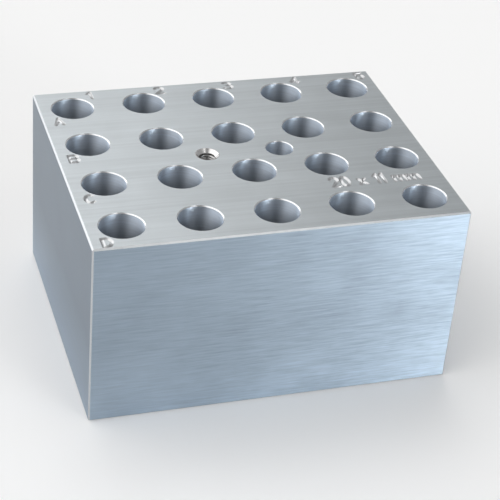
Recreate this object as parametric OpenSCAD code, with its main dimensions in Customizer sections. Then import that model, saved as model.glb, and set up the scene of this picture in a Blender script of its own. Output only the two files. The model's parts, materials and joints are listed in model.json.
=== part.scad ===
// Machined aluminium block for a dry bath, with tube wells, a thermometer well and a lifting thread.
// The origin is the middle of the underside and +Z is up.
// X runs along the rows of wells, and -Y is the front.

/* [Block] */
// Width of the block, along its rows of wells
block_w = 95.25; // [90:0.05:130]
// Depth of the block, from front to back
block_d = 76.2; // [70:0.05:110]
// Height of the block
block_h = 50.8; // [40:0.1:75]
// Chamfer on every outside edge
edge_chamfer = 0.4; // [0.2:0.1:1.5]

/* [Wells] */
// Wells in one row
well_columns = 5; // [4:1:6]
// Rows of wells
well_rows = 4; // [3:1:5]
// Side face to the middle of the nearest well
well_margin_x = 9; // [8:0.05:12]
// Front or back face to the middle of the nearest well
well_margin_y = 9.15; // [8:0.05:12]
// Diameter of a well
well_d = 11; // [8:0.1:12.5]
// Metal left under the tip of a well
well_floor = 9.5; // [5:0.5:20]
// Chamfer on the rim of a well
well_chamfer = 0.25; // [0.1:0.05:0.6]
// Full angle of the tip that the drill leaves at the bottom of a hole
drill_angle = 118; // [90:1:140]
// Diameter of the flat that the drill's chisel edge leaves at the tip
drill_flat_d = 1.6; // [1:0.1:3]

/* [Thermometer well] */
// Diameter of the thermometer well
thermometer_d = 7; // [4:0.1:9]
// Metal left under the tip of the thermometer well
thermometer_floor = 11; // [5:0.5:20]
// Chamfer on the rim of the thermometer well
thermometer_chamfer = 0.2; // [0.1:0.05:0.6]

/* [Lifting thread] */
// Inside diameter of the thread in the lifting insert
thread_minor_d = 4.134; // [3:0.001:4.5]
// Outside diameter of the lifting insert
insert_d = 6.3; // [6.1:0.1:8]
// Length of the lifting insert
insert_length = 10; // [6:0.5:15]
// Diameter of the insert's countersunk mouth
insert_mouth_d = 5.9; // [5:0.1:6]
// Chamfer inside the insert's lower end
insert_end_chamfer = 0.3; // [0.1:0.05:0.4]
// Gap around the insert in its seat
insert_gap = 0.03; // [0.01:0.01:0.1]
// Width of the shoulder that the insert stands on
insert_shoulder = 0.5; // [0.3:0.05:0.6]
// Depth of the room below the insert for the end of a lifting rod
rod_room = 4; // [1:0.5:10]

/* [Hidden] */
$fn = 96;
// How far a cutter runs past the face that it opens
past = 1;
well_pitch_x = (block_w - 2 * well_margin_x) / (well_columns - 1);
well_pitch_y = (block_d - 2 * well_margin_y) / (well_rows - 1);
// The lifting thread and the thermometer well each lie in the middle of four wells, side by side
middle_row = floor(well_rows / 2) - 1;
left_column = floor((well_columns - 3) / 2);
lifting_at = between_wells(left_column, middle_row);
thermometer_at = between_wells(left_column + 1, middle_row);
seat_d = insert_d + 2 * insert_gap;
seat_z = block_h - insert_length;

// Middle of a well, with column 0 at the left and row 0 at the back
function well_at(column, row) = [
    (column - (well_columns - 1) / 2) * well_pitch_x,
    ((well_rows - 1) / 2 - row) * well_pitch_y,
    0
];

// Middle of the four wells from this one to the next column and the next row
function between_wells(column, row) = (well_at(column, row) + well_at(column + 1, row + 1)) / 2;

// Rectangle around the origin with its corners cut by the edge chamfer
module chamfered_outline(w, h) {
    x = w / 2;
    y = h / 2;
    c = edge_chamfer;
    polygon([
        [c - x, -y],
        [x - c, -y],
        [x, c - y],
        [x, y - c],
        [x - c, y],
        [c - x, y],
        [-x, y - c],
        [-x, c - y]
    ]);
}

// Outside of the block, where its outlines from above, from the front and from the side meet
module billet() {
    translate([0, 0, block_h / 2])
        intersection() {
            linear_extrude(block_h, center = true)
                chamfered_outline(block_w, block_d);
            rotate([90, 0, 0])
                linear_extrude(block_d, center = true)
                    chamfered_outline(block_w, block_h);
            rotate([90, 0, 90])
                linear_extrude(block_w, center = true)
                    chamfered_outline(block_d, block_h);
        }
}

// Drilled hole from the top face down to its tip, with a chamfered rim
module drilled_hole(d, floor_h, chamfer) {
    r = d / 2;
    flat_r = drill_flat_d / 2;
    tip_h = (r - flat_r) / tan(drill_angle / 2);
    rotate_extrude()
        polygon([
            [0, floor_h],
            [flat_r, floor_h],
            [r, floor_h + tip_h],
            [r, block_h - chamfer],
            [r + chamfer + past, block_h + past],
            [0, block_h + past]
        ]);
}

// Seat of the lifting insert, with room below it for the end of a lifting rod
module insert_seat() {
    translate([0, 0, seat_z])
        cylinder(d = seat_d, h = insert_length + past);
    translate([0, 0, seat_z - rod_room])
        cylinder(d = seat_d - 2 * insert_shoulder, h = rod_room + past);
}

module heating_block() {
    color("#b9c0c6")
        difference() {
            billet();
            for (column = [0:well_columns - 1], row = [0:well_rows - 1])
                translate(well_at(column, row))
                    drilled_hole(well_d, well_floor, well_chamfer);
            translate(thermometer_at)
                drilled_hole(thermometer_d, thermometer_floor, thermometer_chamfer);
            translate(lifting_at)
                insert_seat();
        }
}

// Thin-walled steel bush with a countersunk mouth, whose bore is the crest of its thread
module lifting_thread_insert() {
    bore_r = thread_minor_d / 2;
    outer_r = insert_d / 2;
    mouth_r = insert_mouth_d / 2;
    color("#dcdfe1")
        translate(lifting_at + [0, 0, seat_z])
            rotate_extrude()
                polygon([
                    [bore_r, insert_end_chamfer],
                    [bore_r + insert_end_chamfer, 0],
                    [outer_r, 0],
                    [outer_r, insert_length],
                    [mouth_r, insert_length],
                    [bore_r, insert_length - mouth_r + bore_r]
                ]);
}

heating_block();
lifting_thread_insert();
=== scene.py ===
import json
import math

import bmesh
import bpy
from mathutils import Matrix, Vector

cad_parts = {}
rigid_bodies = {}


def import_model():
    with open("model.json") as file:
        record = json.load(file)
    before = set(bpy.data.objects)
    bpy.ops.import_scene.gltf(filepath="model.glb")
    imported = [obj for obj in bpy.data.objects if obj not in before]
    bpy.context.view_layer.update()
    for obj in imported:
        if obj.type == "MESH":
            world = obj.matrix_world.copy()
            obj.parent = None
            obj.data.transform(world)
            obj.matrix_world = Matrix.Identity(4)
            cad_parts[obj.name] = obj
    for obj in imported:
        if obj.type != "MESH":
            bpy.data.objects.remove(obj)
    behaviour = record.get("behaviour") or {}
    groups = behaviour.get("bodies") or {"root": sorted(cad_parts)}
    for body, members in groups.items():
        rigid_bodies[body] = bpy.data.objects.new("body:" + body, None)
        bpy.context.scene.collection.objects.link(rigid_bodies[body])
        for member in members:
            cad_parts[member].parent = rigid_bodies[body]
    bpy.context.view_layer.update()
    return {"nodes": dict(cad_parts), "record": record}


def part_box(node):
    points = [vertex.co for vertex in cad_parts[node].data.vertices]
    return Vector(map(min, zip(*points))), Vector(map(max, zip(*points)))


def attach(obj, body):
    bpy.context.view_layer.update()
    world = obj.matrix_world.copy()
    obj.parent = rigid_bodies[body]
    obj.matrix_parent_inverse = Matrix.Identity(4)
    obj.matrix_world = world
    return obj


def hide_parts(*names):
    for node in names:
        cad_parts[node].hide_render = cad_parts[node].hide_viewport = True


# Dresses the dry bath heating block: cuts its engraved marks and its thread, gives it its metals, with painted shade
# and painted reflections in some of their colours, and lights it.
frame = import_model()

# Sizes and places that the frame gives, in metres
MM = 0.001
mounts = {m["name"]: m for m in frame["record"]["mounts"]}
wells = {name[-2:]: m for name, m in mounts.items() if name.startswith("well_")}
block_low, block_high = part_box("heating_block")
insert_low, insert_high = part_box("lifting_thread_insert")
top_z = block_high.z

# Row letters and column numbers, with the steps to them from the middle of their wells
MARK_HEIGHT = 3.4 * MM
MARK_WIDTH = 2.2 * MM
LETTER_STEP = Vector((-4.9, -6.5)) * MM
NUMBER_STEP = Vector((5.8, 6.3)) * MM

# Line with the number and the size of the wells, with the step to it from the middle of four wells
SIZE_MARK = "20 x 11 mm"
SIZE_MARK_HEIGHT = 4.2 * MM
SIZE_MARK_WIDTH = 1.9 * MM
SIZE_MARK_GAP = 0.85 * MM
SIZE_MARK_STEP = Vector((0, 0.6)) * MM

# V-shaped grooves of all marks
GROOVE_WIDTH = 1.0 * MM
GROOVE_DEPTH = 0.45 * MM
# Height above the surface to which an engraving cutter reaches
CUTTER_LIFT = 0.1 * MM
# Straight pieces in an arc of a character, and in the round end of a groove
ARC_STEPS = 10
END_STEPS = 6

# Thread of the lifting insert
THREAD_PITCH = 0.8 * MM
THREAD_DEPTH = 0.43 * MM
THREAD_MOUTH_RIM = 0.2 * MM
THREAD_SIDES = 64
THREAD_ROWS_PER_TURN = 10

# Distance below which two points of the frame's solid become one
WELD = 0.001 * MM
# Angles, in degrees, above which an edge stays sharp
BLOCK_SHARP = 25
INSERT_SHARP = 30

# How squarely a flat face of the block looks along an axis, and how near it lies to the block's outside
SQUARE = 0.999
FACE_REACH = 0.01 * MM
# How far in the chamfered edges reach, and how far out the rims of the holes
EDGE_REACH = 0.7 * MM
RIM_REACH = 0.6 * MM

# Floor: half its width, how far it lies below the block, and its paint
FLOOR_HALF = 6.0
FLOOR_DROP = 0.05 * MM
FLOOR_COLOUR = (0.97, 0.97, 0.97, 1)
FLOOR_ROUGHNESS = 0.9

# Camera as fitted to the photo: its place, what it looks at, how far it leans, and its lens and sensor in millimetres
EYE = Vector((-115.86, -338.05, 255.96)) * MM
AIM = Vector((-4.09, -23.22, 35.98)) * MM
ROLL = math.radians(5.138)
LENS = 115.38
SENSOR = 36


def arc(x, y, rx, ry, start, end):
    """Points of an elliptic arc, with its angles in degrees."""
    turns = [math.radians(start + (end - start) * i / ARC_STEPS) for i in range(ARC_STEPS + 1)]
    return [(x + rx * math.cos(t), y + ry * math.sin(t)) for t in turns]


def bowl(low, high, straight):
    """Bowl of a letter, from its stem out and back to the stem."""
    round_part = arc(straight, (low + high) / 2, 1 - straight, (high - low) / 2, 90, -90)
    return [(0, high), *round_part, (0, low)]


# Height of the small letters, and width and rise of one arch of a small m, as shares of a character's field
SMALL_HEIGHT = 0.6
ARCH_WIDTH = 0.54
ARCH_RISE = 0.24


def arch(x):
    """One arch of a small m."""
    half = ARCH_WIDTH / 2
    return [*arc(x + half, SMALL_HEIGHT - ARCH_RISE, half, ARCH_RISE, 180, 0), (x + ARCH_WIDTH, 0)]


# Centre lines of the characters, on a field one unit wide and one unit high
LINES = {
    "A": [[(0, 0), (0.5, 1)], [(0.5, 1), (1, 0)], [(0.18, 0.35), (0.82, 0.35)]],
    "B": [[(0, 0), (0, 1)], bowl(0.53, 1, 0.5), bowl(0, 0.53, 0.6)],
    "C": [arc(0.55, 0.5, 0.55, 0.5, 50, 310)],
    "D": [[(0, 0), (0, 1)], bowl(0, 1, 0.35)],
    "0": [arc(0.5, 0.5, 0.5, 0.5, 90, 270), arc(0.5, 0.5, 0.5, 0.5, -90, 90)],
    "1": [[(0, 0.75), (1, 1)], [(1, 1), (1, 0)]],
    "2": [[*arc(0.5, 0.72, 0.5, 0.28, 170, -35), (0, 0)], [(0, 0), (1, 0)]],
    "3": [arc(0.45, 0.76, 0.45, 0.24, 150, -90), arc(0.45, 0.26, 0.55, 0.26, 90, -150)],
    "4": [[(0.75, 0), (0.75, 1)], [(0.75, 1), (0, 0.3)], [(0, 0.3), (1, 0.3)]],
    "5": [[(0.9, 1), (0.12, 1), (0.05, 0.53)], arc(0.48, 0.32, 0.5, 0.32, 140, -150)],
    "x": [[(0, 0), (1, SMALL_HEIGHT)], [(0, SMALL_HEIGHT), (1, 0)]],
    "m": [[(0, 0), (0, SMALL_HEIGHT)], arch(0), arch(ARCH_WIDTH)],
    " ": [],
}
# Widths of the characters that are narrower or wider than the others, as factors
WIDTHS = {"1": 0.4, "x": 0.9, "m": 1.5, " ": 0.5}


def side_step(path, i):
    """Step to the left side of a groove of half width 1 at a point of its path, mitred there."""
    last = len(path) - 1
    before = (path[max(i, 1)] - path[max(i - 1, 0)]).normalized()
    after = (path[min(i + 1, last)] - path[min(i, last - 1)]).normalized()
    middle = before.orthogonal() + after.orthogonal()
    return middle * (2 / middle.length_squared)


def groove(path):
    """Closed mesh of a V-shaped cutter along a path on the top face, with half cones at its ends."""
    half = GROOVE_WIDTH / 2 * (1 + CUTTER_LIFT / GROOVE_DEPTH)
    steps = [side_step(path, i) * half for i in range(len(path))]
    left = [p + s for p, s in zip(path, steps)]
    right = [p - s for p, s in zip(path, steps)]
    turns = [Matrix.Rotation(-math.pi * k / END_STEPS, 2) for k in range(1, END_STEPS)]
    far_end = [path[-1] + t @ steps[-1] for t in turns]
    near_end = [path[0] - t @ steps[0] for t in turns]
    mesh = bmesh.new()
    high, low = top_z + CUTTER_LIFT, top_z - GROOVE_DEPTH
    left, right, far_end, near_end = (
        [mesh.verts.new((p.x, p.y, high)) for p in ring] for ring in (left, right, far_end, near_end)
    )
    bottom = [mesh.verts.new((p.x, p.y, low)) for p in path]
    for i in range(len(path) - 1):
        mesh.faces.new((left[i], left[i + 1], right[i + 1], right[i]))
        mesh.faces.new((left[i + 1], left[i], bottom[i], bottom[i + 1]))
        mesh.faces.new((right[i], right[i + 1], bottom[i + 1], bottom[i]))
    far_cone = ([left[-1], *far_end, right[-1]], bottom[-1])
    near_cone = ([right[0], *near_end, left[0]], bottom[0])
    for rim, foot in (far_cone, near_cone):
        mesh.faces.new(rim)
        for a, b in zip(rim, rim[1:]):
            mesh.faces.new((b, a, foot))
    bmesh.ops.recalc_face_normals(mesh, faces=mesh.faces)
    return mesh


def made_object(name, mesh):
    """New object from a bmesh, which is used up."""
    data = bpy.data.meshes.new(name)
    mesh.to_mesh(data)
    mesh.free()
    return bpy.data.objects.new(name, data)


def cutter(name, character, centre, width, height):
    """Cutter objects for one engraved character, one for each of its lines."""
    made = []
    width *= WIDTHS.get(character, 1)
    for line in LINES[character]:
        path = [centre + Vector(((x - 0.5) * width, (y - 0.5) * height)) for x, y in line]
        made.append(made_object(name, groove(path)))
    return made


def mark_cutters():
    """Cutters for the row letters, the column numbers and the line with the wells' number and size."""
    made = []
    for name, mount in wells.items():
        row, column = name
        middle = Vector(mount["pos_m"][:2])
        if column == "1":
            made += cutter("letter", row.upper(), middle + LETTER_STEP, MARK_WIDTH, MARK_HEIGHT)
        if row == "a":
            made += cutter("number", column, middle + NUMBER_STEP, MARK_WIDTH, MARK_HEIGHT)
    first, last = (Vector(wells[name]["pos_m"][:2]) for name in ("c4", "d5"))
    middle = (first + last) / 2 + SIZE_MARK_STEP
    widths = [WIDTHS.get(c, 1) * SIZE_MARK_WIDTH for c in SIZE_MARK]
    x = -(sum(widths) + (len(widths) - 1) * SIZE_MARK_GAP) / 2
    for character, width in zip(SIZE_MARK, widths):
        place = middle + Vector((x + width / 2, 0))
        made += cutter("size", character, place, SIZE_MARK_WIDTH, SIZE_MARK_HEIGHT)
        x += width + SIZE_MARK_GAP
    return made


def link(obj):
    """Puts a new object into the scene."""
    bpy.context.scene.collection.objects.link(obj)
    return obj


def shade_by_angle(obj, degrees):
    """Smooth shading with sharp edges where two faces meet at more than this angle."""
    mesh = bmesh.new()
    mesh.from_mesh(obj.data)
    for face in mesh.faces:
        face.smooth = True
    for edge in mesh.edges:
        edge.smooth = len(edge.link_faces) == 2 and edge.calc_face_angle() < math.radians(degrees)
    mesh.to_mesh(obj.data)
    mesh.free()


def cut_marks(block):
    """Cuts the engraved marks into the block."""
    cutters = bpy.data.collections.new("cutters")
    bpy.context.scene.collection.children.link(cutters)
    for each in mark_cutters():
        cutters.objects.link(each)
    cut = block.modifiers.new("marks", "BOOLEAN")
    cut.operation = "DIFFERENCE"
    cut.operand_type = "COLLECTION"
    cut.collection = cutters
    cut.solver = "EXACT"
    cut.use_self = True
    bpy.context.view_layer.update()
    evaluated = block.evaluated_get(bpy.context.evaluated_depsgraph_get())
    block.data = bpy.data.meshes.new_from_object(evaluated)
    block.modifiers.clear()
    for each in list(cutters.objects):
        bpy.data.objects.remove(each)
    bpy.data.collections.remove(cutters)


def engraved_block():
    """The block with its marks cut in, made from the frame's own solid."""
    mesh = bmesh.new()
    mesh.from_mesh(frame["nodes"]["heating_block"].data)
    bmesh.ops.remove_doubles(mesh, verts=mesh.verts, dist=WELD)
    block = link(made_object("engraved_block", mesh))
    cut_marks(block)
    shade_by_angle(block, BLOCK_SHARP)
    return block


def threaded_insert():
    """The lifting insert with its thread and countersunk mouth."""
    centre = (insert_low + insert_high) / 2
    outer = (insert_high.x - insert_low.x) / 2
    length = insert_high.z - insert_low.z
    bore = mounts["lifting_thread"]["dims"]["r_mm"] * MM
    mouth = outer - THREAD_MOUTH_RIM
    # Depth below the mouth at which the thread is full, where its first turn begins
    lead = mouth - bore + THREAD_PITCH
    rows = round(length / THREAD_PITCH * THREAD_ROWS_PER_TURN)

    def wall(turn):
        """Radii and heights around the insert's wall, at a place that is this part of a turn around its axis."""
        points = [(outer, 0), (outer, length)]
        for i in range(rows + 1):
            down = length * i / rows
            wave = abs(((down / THREAD_PITCH + turn) % 1) * 2 - 1)
            started = min(max((down - lead) / THREAD_PITCH + 1 - turn, 0), 1)
            cone = mouth - down
            points.append((max(bore + THREAD_DEPTH * wave * started, cone), length - down))
        return points

    mesh = bmesh.new()
    rings = []
    for k in range(THREAD_SIDES):
        turn = k / THREAD_SIDES
        c, s = math.cos(2 * math.pi * turn), math.sin(2 * math.pi * turn)
        places = [(centre.x + r * c, centre.y + r * s, insert_low.z + z) for r, z in wall(turn)]
        rings.append([mesh.verts.new(place) for place in places])
    for a, b in zip(rings, rings[1:] + rings[:1]):
        for i in range(len(a)):
            j = (i + 1) % len(a)
            mesh.faces.new((a[i], a[j], b[j], b[i]))
    bmesh.ops.recalc_face_normals(mesh, faces=mesh.faces)
    insert = link(made_object("threaded_insert", mesh))
    shade_by_angle(insert, INSERT_SHARP)
    return insert


# Noise that all metals share: fine marks, stretched along the way the tool ran, and wide clouds
MARK_DETAIL = 4
MARK_ROUGHNESS = 0.65
CLOUDS_PER_METRE = 90
CLOUD_DETAIL = 3
CLOUD_SHARE = 0.3
# Values of the noise that become the darkest and lightest streaks, and the lowest and highest roughness
STREAK_ENDS = (0.3, 0.7)
ROUGHNESS_ENDS = (0.38, 0.62)
RELIEF_STRENGTH = 0.25
# A fade that leaves the colour as it is
NO_FADE = (0, 1, 1, 1)


def metal(name, colour, roughness, spread, grain, streak, bump, anisotropic=0.0, across=None, fade=NO_FADE):
    """Metal with fine parallel marks.

    spread is how far the marks raise and lower the roughness.
    grain is the number of marks per metre along X, Y and Z, small along the way the tool ran.
    streak is how far the marks lighten and darken the colour at the left end and at the right end of the block.
    bump is the depth of the marks, in metres.
    across is the way across the marks, along which highlights are drawn out by the share anisotropic.
    fade is two heights, in metres, and the factors on the colour there; it paints shade or a reflection by height.
    """
    made = bpy.data.materials.new(name)
    made.use_nodes = True
    nodes, links = made.node_tree.nodes, made.node_tree.links

    def noise(vector, **settings):
        """Noise with these settings."""
        node = nodes.new("ShaderNodeTexNoise")
        for socket, value in settings.items():
            node.inputs[socket].default_value = value
        links.new(vector, node.inputs["Vector"])
        return node.outputs["Fac"]

    def ramp(value, *ends):
        """Values that run from one pair of ends to another, and stay there outside."""
        node = nodes.new("ShaderNodeMapRange")
        for socket, end in zip(("From Min", "From Max", "To Min", "To Max"), ends):
            node.inputs[socket].default_value = end
        links.new(value, node.inputs["Value"])
        return node.outputs["Result"]

    def calculate(operation, *values):
        """Result of a calculation with other values, or with numbers."""
        node = nodes.new("ShaderNodeMath")
        node.operation = operation
        for socket, value in zip(node.inputs, values):
            if isinstance(value, (int, float)):
                socket.default_value = value
            else:
                links.new(value, socket)
        return node.outputs["Value"]

    place = nodes.new("ShaderNodeTexCoord").outputs["Object"]
    axes = nodes.new("ShaderNodeSeparateXYZ")
    links.new(place, axes.inputs["Vector"])
    stretch = nodes.new("ShaderNodeMapping")
    stretch.inputs["Scale"].default_value = grain
    links.new(place, stretch.inputs["Vector"])
    marks = noise(stretch.outputs["Vector"], Scale=1, Detail=MARK_DETAIL, Roughness=MARK_ROUGHNESS)
    clouds = noise(place, Scale=CLOUDS_PER_METRE, Detail=CLOUD_DETAIL)
    both = nodes.new("ShaderNodeMix")
    both.data_type = "FLOAT"
    both.inputs["Factor"].default_value = CLOUD_SHARE
    links.new(marks, both.inputs["A"])
    links.new(clouds, both.inputs["B"])

    wave = ramp(both.outputs["Result"], *STREAK_ENDS, -1, 1)
    strength = ramp(axes.outputs["X"], block_low.x, block_high.x, *streak)
    level = calculate("MULTIPLY_ADD", wave, strength, 1)
    tint = nodes.new("ShaderNodeVectorMath")
    tint.operation = "SCALE"
    tint.inputs[0].default_value = colour
    links.new(calculate("MULTIPLY", level, ramp(axes.outputs["Z"], *fade)), tint.inputs["Scale"])

    relief = nodes.new("ShaderNodeBump")
    relief.inputs["Strength"].default_value = RELIEF_STRENGTH
    relief.inputs["Distance"].default_value = bump
    links.new(marks, relief.inputs["Height"])

    shader = nodes["Principled BSDF"]
    shader.inputs["Metallic"].default_value = 1
    shader.inputs["Anisotropic"].default_value = anisotropic
    links.new(tint.outputs["Vector"], shader.inputs["Base Color"])
    rough = ramp(marks, *ROUGHNESS_ENDS, roughness - spread, roughness + spread)
    links.new(rough, shader.inputs["Roughness"])
    links.new(relief.outputs["Normal"], shader.inputs["Normal"])
    if across:
        way = nodes.new("ShaderNodeCombineXYZ")
        for axis, value in zip("XYZ", across):
            way.inputs[axis].default_value = value
        links.new(way.outputs["Vector"], shader.inputs["Tangent"])
    return made


ALONG_Y = (0, 1, 0)
ALONG_Z = (0, 0, 1)
# Narrow faces that a sharp tool cuts: the edges, the rims of the holes and the marks
FINE_CUT = dict(spread=0.02, grain=(400, 400, 400), streak=(0.04, 0.04), bump=0.001 * MM)
FINISHES = {
    "milled_top": dict(
        colour=(0.54, 0.575, 0.595),
        roughness=0.36,
        spread=0.02,
        grain=(20, 900, 900),
        streak=(0.1, 0.1),
        bump=0.004 * MM,
        anisotropic=0.92,
        across=ALONG_Y,
    ),
    "brushed_front_painted_shade_and_reflection": dict(
        # Painted shade: this colour is darker and bluer than the top's, so the front renders darker than the top.
        colour=(0.337, 0.408, 0.485),
        roughness=0.37,
        spread=0.03,
        grain=(110, 2200, 2200),
        streak=(0.13, 0.28),
        bump=0.004 * MM,
        anisotropic=0.94,
        across=ALONG_Z,
        # Painted reflection of the floor: the colour gets lighter towards the bottom.
        fade=(0, 22 * MM, 1.26, 1),
    ),
    "brushed_side_painted_shade_and_reflection": dict(
        # Painted shade: this colour is far darker than the top's, so the sides render darker than the top.
        colour=(0.197, 0.243, 0.296),
        roughness=0.4,
        spread=0.01,
        grain=(900, 40, 500),
        streak=(0.07, 0.07),
        bump=0.002 * MM,
        anisotropic=0.4,
        across=ALONG_Z,
        # Painted reflection of the floor: the colour gets lighter towards the bottom.
        fade=(0, 24 * MM, 1.6, 1),
    ),
    "edge": dict(colour=(0.53, 0.55, 0.57), roughness=0.25, **FINE_CUT),
    "bright_cut": dict(colour=(0.74, 0.76, 0.78), roughness=0.25, **FINE_CUT),
    "engraved": dict(colour=(0.57, 0.58, 0.59), roughness=0.31, **FINE_CUT),
    "drilled_painted_shade": dict(
        colour=(0.75, 0.83, 0.93),
        roughness=0.64,
        spread=0.03,
        grain=(60, 60, 3000),
        streak=(0.1, 0.1),
        bump=0.008 * MM,
        anisotropic=0.96,
        across=ALONG_Z,
        # Painted shade: the colour darkens deeper down the wells.
        fade=(top_z - 9 * MM, top_z - 2 * MM, 0.34, 1),
    ),
}
INSERT_STEEL_PAINTED_SHADE = dict(
    colour=(0.7, 0.7, 0.7),
    roughness=0.22,
    spread=0.03,
    grain=(200, 200, 3000),
    streak=(0.05, 0.05),
    bump=0.003 * MM,
    # Painted shade: the colour darkens down the bore.
    fade=(top_z - 2.5 * MM, top_z - 0.7 * MM, 0.4, 1),
)


def on_rim(point):
    """Whether a point lies at the rim of a hole that a mount states."""
    for mount in mounts.values():
        if "r_mm" in mount["dims"]:
            reach = mount["dims"]["r_mm"] * MM + RIM_REACH
            if (point.xy - Vector(mount["pos_m"][:2])).length < reach:
                return True
    return False


def finish_of(face):
    """Name of the finish that the cutting tool left on a face of the block; the front, side and well finishes also
    carry painted shade, and the front and side a painted reflection.
    """
    middle, normal = face.center, face.normal
    if abs(normal.z) > SQUARE and middle.z > top_z - FACE_REACH:
        return "milled_top"
    if abs(normal.z) > SQUARE and middle.z < FACE_REACH:
        return "brushed_front_painted_shade_and_reflection"
    if abs(normal.y) > SQUARE and abs(middle.y) > block_high.y - FACE_REACH:
        return "brushed_front_painted_shade_and_reflection"
    if abs(normal.x) > SQUARE and abs(middle.x) > block_high.x - FACE_REACH:
        return "brushed_side_painted_shade_and_reflection"
    if max(abs(middle.x) - block_high.x, abs(middle.y) - block_high.y) > -EDGE_REACH:
        return "edge"
    if middle.z > top_z - GROOVE_DEPTH:
        return "bright_cut" if on_rim(middle) else "engraved"
    return "drilled_painted_shade"


def dress_block(block):
    """Gives each face of the block its finish."""
    block.data.materials.clear()
    for name, looks in FINISHES.items():
        block.data.materials.append(metal(name, **looks))
    names = list(FINISHES)
    for face in block.data.polygons:
        face.material_index = names.index(finish_of(face))


block = engraved_block()
dress_block(block)
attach(block, "root")
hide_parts("heating_block")

insert = threaded_insert()
insert.data.materials.append(metal("insert_steel", **INSERT_STEEL_PAINTED_SHADE))
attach(insert, "root")
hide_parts("lifting_thread_insert")


def floor():
    """Wide pale floor, just below the block's underside."""
    mesh = bmesh.new()
    bmesh.ops.create_grid(mesh, x_segments=1, y_segments=1, size=FLOOR_HALF)
    obj = link(made_object("floor", mesh))
    obj.location.z = block_low.z - FLOOR_DROP
    paint = bpy.data.materials.new("floor_paint")
    paint.use_nodes = True
    shader = paint.node_tree.nodes["Principled BSDF"]
    shader.inputs["Base Color"].default_value = FLOOR_COLOUR
    shader.inputs["Roughness"].default_value = FLOOR_ROUGHNESS
    shader.inputs["Specular IOR Level"].default_value = 0
    obj.data.materials.append(paint)


# Studio around the block: an even level with glows in it, each named for what it lights.
# A glow has a direction, the angles in degrees from it where it is full and where it is gone, a colour and a strength.
# One with a negative strength is a darker area, named for what it leaves dark.
WORLD_LEVEL = 0.545
WHITE = (1, 1, 1)
GLOWS = {
    "left top edge": ((-0.58, 0.75, 0.28), 7, 20, WHITE, 1.5),
    "top face": ((0.06, 0.5, 0.86), 6, 19, WHITE, 2.75),
    "marks, and right walls and rims of the wells": ((-0.77, -0.02, 0.64), 26, 46, (1, 0.98, 0.96), 1.05),
    "front top edge": ((0.27, -0.59, 0.76), 3, 11, (1, 0.99, 0.97), 1.6),
    "right end of the front": ((0.51, -0.86, 0.02), 2, 11, (0.95, 0.98, 0.99), 42.0),
    "blue gleam in the wells": ((0.69, -0.63, 0.36), 2, 11, (0.76, 0.89, 1), 3.3),
    "back walls of the wells": ((-0.2, -0.72, 0.66), 14, 44, WHITE, -0.3),
    "left walls of the wells": ((0.85, 0.05, 0.5), 15, 42, WHITE, -0.17),
}


def world():
    """The studio around the block, as the world's background."""
    made = bpy.data.worlds.new("studio")
    made.use_nodes = True
    nodes, links = made.node_tree.nodes, made.node_tree.links
    way = nodes.new("ShaderNodeTexCoord").outputs["Generated"]
    total = None
    for direction, full, gone, colour, strength in GLOWS.values():
        toward = nodes.new("ShaderNodeVectorMath")
        toward.operation = "DOT_PRODUCT"
        toward.inputs[1].default_value = Vector(direction).normalized()
        links.new(way, toward.inputs[0])
        fade = nodes.new("ShaderNodeMapRange")
        fade.interpolation_type = "SMOOTHSTEP"
        fade.inputs["From Min"].default_value = math.cos(math.radians(gone))
        fade.inputs["From Max"].default_value = math.cos(math.radians(full))
        links.new(toward.outputs["Value"], fade.inputs["Value"])
        add = nodes.new("ShaderNodeVectorMath")
        add.operation = "MULTIPLY_ADD"
        add.inputs[1].default_value = [c * strength for c in colour]
        add.inputs[2].default_value = [WORLD_LEVEL] * 3
        links.new(fade.outputs["Result"], add.inputs[0])
        if total:
            links.new(total, add.inputs[2])
        total = add.outputs["Vector"]
    links.new(total, nodes["Background"].inputs["Color"])
    bpy.context.scene.world = made


def camera():
    """Camera of the photo."""
    data = bpy.data.cameras.new("camera")
    data.lens = LENS
    data.sensor_width = SENSOR
    obj = link(bpy.data.objects.new("camera", data))
    ahead = (AIM - EYE).normalized()
    right = ahead.cross(Vector((0, 0, 1))).normalized()
    right = Matrix.Rotation(-ROLL, 3, ahead) @ right
    up = right.cross(ahead)
    obj.matrix_world = Matrix((right, up, -ahead)).transposed().to_4x4()
    obj.location = EYE
    bpy.context.scene.camera = obj


floor()
world()
camera()
bpy.context.scene.view_settings.view_transform = "Standard"
